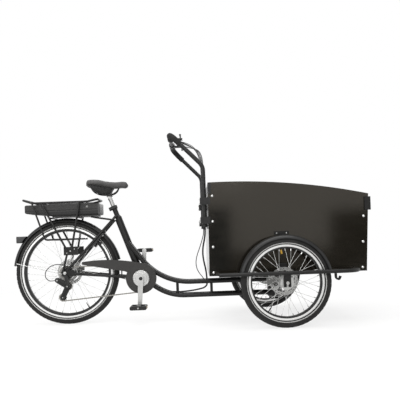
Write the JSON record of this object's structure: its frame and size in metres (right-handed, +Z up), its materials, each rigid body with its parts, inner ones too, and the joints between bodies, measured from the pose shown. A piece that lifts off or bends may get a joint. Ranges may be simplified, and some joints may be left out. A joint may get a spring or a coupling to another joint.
{
  "type": "cargo tricycle",
  "caption": "Electric front-load cargo tricycle with a plywood box over paired front wheels, a steering handlebar on the box, a saddle, rack battery and pedal chain drive.",
  "frame": {"origin": "middle of the tricycle's box on the ground plane", "axes": "+X forward along the tricycle, +Y to the rider's left, +Z up"},
  "size_m": [2.1554, 0.911, 1.145],
  "materials": {
    "frame_paint": "satin black powder coat",
    "silver": "satin cast and machined aluminium",
    "steel": "bright zinc plated steel",
    "rotor_hub": "machined aluminium hub with steel rotor and spokes",
    "tyre": "moulded rubber with a thin reflective line",
    "rim": "black anodised with a bare machined brake ring",
    "box_ply": "black film faced plywood",
    "floor_ply": "black film faced plywood with a mesh pressed face",
    "plastic": "black moulded plastic",
    "battery_case": "dark grey moulded case",
    "lamp": "red lens in a black housing",
    "saddle_cover": "dark grey leatherette",
    "foam": "black foam grip",
    "cable": "black cable jacket",
    "chain_steel": "oiled steel chain"
  },
  "bodies": {
    "frame": {"seat_tube": "frame_paint", "upper_main_tubes": "frame_paint", "lower_main_tubes": "frame_paint", "head_tube": "frame_paint", "frame_bearings": "steel", "seat_stays": "frame_paint", "chain_stays": "frame_paint", "seat_clamp": "silver", "rear_axle": "steel", "rear_mudguard": "plastic", "mudguard_stays": "steel", "tail_light": "lamp", "rack_frame": "frame_paint", "chain_guard": "plastic", "chain": "chain_steel", "derailleur": "plastic", "frame_cables": "cable", "steering_cables": "cable"},
    "seat": {"seat_post": "silver", "saddle": "saddle_cover"},
    "seat_clamp_lever": {"seat_clamp_lever": "silver"},
    "battery": {"battery": "battery_case"},
    "rear_wheel": {"rear_tyre": "tyre", "rear_rim": "rim", "hub_motor": "rotor_hub"},
    "freewheel": {"freewheel": "steel"},
    "crank": {"crankset": "silver"},
    "pedal_right": {"pedal_right": "plastic"},
    "pedal_left": {"pedal_left": "plastic"},
    "guide_pulley": {"guide_pulley": "plastic"},
    "tension_pulley": {"tension_pulley": "plastic"},
    "brake_arm_left": {"brake_arm_left": "silver"},
    "brake_arm_right": {"brake_arm_right": "silver"},
    "carriage": {"carriage_frame": "frame_paint", "box_floor": "floor_ply", "box_side_left": "box_ply", "box_side_right": "box_ply", "box_front": "box_ply", "box_rear": "box_ply", "box_hardware": "steel", "box_bolts": "steel", "handlebar": "frame_paint", "grips": "foam", "handlebar_controls": "plastic", "front_mudguards": "plastic", "guard_bars": "frame_paint", "brake_calipers": "silver", "front_axles": "steel", "carriage_cables": "cable"},
    "brake_lever_left": {"brake_lever_left": "silver"},
    "brake_lever_right": {"brake_lever_right": "silver"},
    "twist_shifter": {"twist_shifter": "plastic"},
    "caliper_arm_left": {"caliper_arm_left": "silver"},
    "caliper_arm_right": {"caliper_arm_right": "silver"},
    "front_wheel_left": {"front_tyre_left": "tyre", "front_rim_left": "rim", "front_hub_left": "rotor_hub"},
    "front_wheel_right": {"front_tyre_right": "tyre", "front_rim_right": "rim", "front_hub_right": "rotor_hub"}
  },
  "joints": [
    {"name": "steering", "type": "hinge", "parent": "frame", "child": "carriage", "pos_m": [0.56605, 0, 0.2], "axis": [0, 0, 1], "range_deg": [-35, 35], "deforming": ["steering_cables"]},
    {"name": "rear_wheel_spin", "type": "hinge", "parent": "frame", "child": "rear_wheel", "pos_m": [-0.73896, 0, 0.3265], "axis": [0, 1, 0], "continuous": true},
    {"name": "front_left_spin", "type": "hinge", "parent": "carriage", "child": "front_wheel_left", "pos_m": [0.56605, 0.4, 0.251], "axis": [0, 1, 0], "continuous": true},
    {"name": "front_right_spin", "type": "hinge", "parent": "carriage", "child": "front_wheel_right", "pos_m": [0.56605, -0.4, 0.251], "axis": [0, 1, 0], "continuous": true},
    {"name": "crank_spin", "type": "hinge", "parent": "frame", "child": "crank", "pos_m": [-0.27096, 0, 0.276], "axis": [0, 1, 0], "continuous": true},
    {"name": "freewheel_spin", "type": "hinge", "parent": "frame", "child": "freewheel", "pos_m": [-0.73896, 0, 0.3265], "axis": [0, 1, 0], "continuous": true},
    {"name": "guide_pulley_spin", "type": "hinge", "parent": "frame", "child": "guide_pulley", "pos_m": [-0.72696, -0.048, 0.2445], "axis": [0, 1, 0], "continuous": true},
    {"name": "tension_pulley_spin", "type": "hinge", "parent": "frame", "child": "tension_pulley", "pos_m": [-0.76296, -0.048, 0.1735], "axis": [0, 1, 0], "continuous": true},
    {"name": "pedal_right_spin", "type": "hinge", "parent": "crank", "child": "pedal_right", "pos_m": [-0.28281, -0.14, 0.10641], "axis": [0, 1, 0], "continuous": true},
    {"name": "pedal_left_spin", "type": "hinge", "parent": "crank", "child": "pedal_left", "pos_m": [-0.2591, 0.14, 0.44559], "axis": [0, 1, 0], "continuous": true},
    {"name": "seat_height", "type": "slide", "parent": "frame", "child": "seat", "axis": [-0.3387, 0, 0.9409], "range_m": [-0.015, 0.07]},
    {"name": "clamp_lever_swing", "type": "hinge", "parent": "frame", "child": "seat_clamp_lever", "pos_m": [-0.45798, -0.02435, 0.71564], "axis": [0.3387, 0, -0.9409], "range_deg": [0, 100]},
    {"name": "battery_slide", "type": "slide", "parent": "frame", "child": "battery", "axis": [-1, 0, 0], "range_m": [0, 0.3]},
    {"name": "brake_lever_left_pull", "type": "hinge", "parent": "carriage", "child": "brake_lever_left", "pos_m": [0.00805, 0.118, 1.118], "axis": [0, 0, 1], "range_deg": [0, 14], "stiffness_Nm_per_rad": 0.8},
    {"name": "brake_lever_right_pull", "type": "hinge", "parent": "carriage", "child": "brake_lever_right", "pos_m": [0.00805, -0.118, 1.118], "axis": [0, 0, -1], "range_deg": [0, 14], "stiffness_Nm_per_rad": 0.8},
    {"name": "shifter_twist", "type": "hinge", "parent": "carriage", "child": "twist_shifter", "pos_m": [-0.05396, 0.07, 1.118], "axis": [0, 1, 0], "range_deg": [0, 100]},
    {"name": "caliper_arm_left_pull", "type": "hinge", "parent": "carriage", "child": "caliper_arm_left", "pos_m": [0.49245, 0.32, 0.268], "axis": [0, 1, 0], "range_deg": [0, 25]},
    {"name": "caliper_arm_right_pull", "type": "hinge", "parent": "carriage", "child": "caliper_arm_right", "pos_m": [0.49245, -0.32, 0.268], "axis": [0, 1, 0], "range_deg": [0, 25]},
    {"name": "brake_arm_left_swing", "type": "hinge", "parent": "frame", "child": "brake_arm_left", "pos_m": [-0.57632, 0.05155, 0.50026], "axis": [0.7286, 0, -0.6849], "range_deg": [0, 2.5]},
    {"name": "brake_arm_right_swing", "type": "hinge", "parent": "frame", "child": "brake_arm_right", "pos_m": [-0.57632, -0.05155, 0.50026], "axis": [-0.7286, 0, 0.6849], "range_deg": [0, 2.5]}
  ],
  "couplings": [
    {"joint": "freewheel_spin", "follows": "crank_spin", "ratio": 2.3333},
    {"joint": "guide_pulley_spin", "follows": "crank_spin", "ratio": -3.8182},
    {"joint": "tension_pulley_spin", "follows": "crank_spin", "ratio": 3.8182},
    {"joint": "caliper_arm_left_pull", "follows": "brake_lever_left_pull", "ratio": 1.7857},
    {"joint": "caliper_arm_right_pull", "follows": "brake_lever_left_pull", "ratio": 1.7857},
    {"joint": "brake_arm_left_swing", "follows": "brake_lever_right_pull", "ratio": 0.17857},
    {"joint": "brake_arm_right_swing", "follows": "brake_lever_right_pull", "ratio": 0.17857}
  ]
}
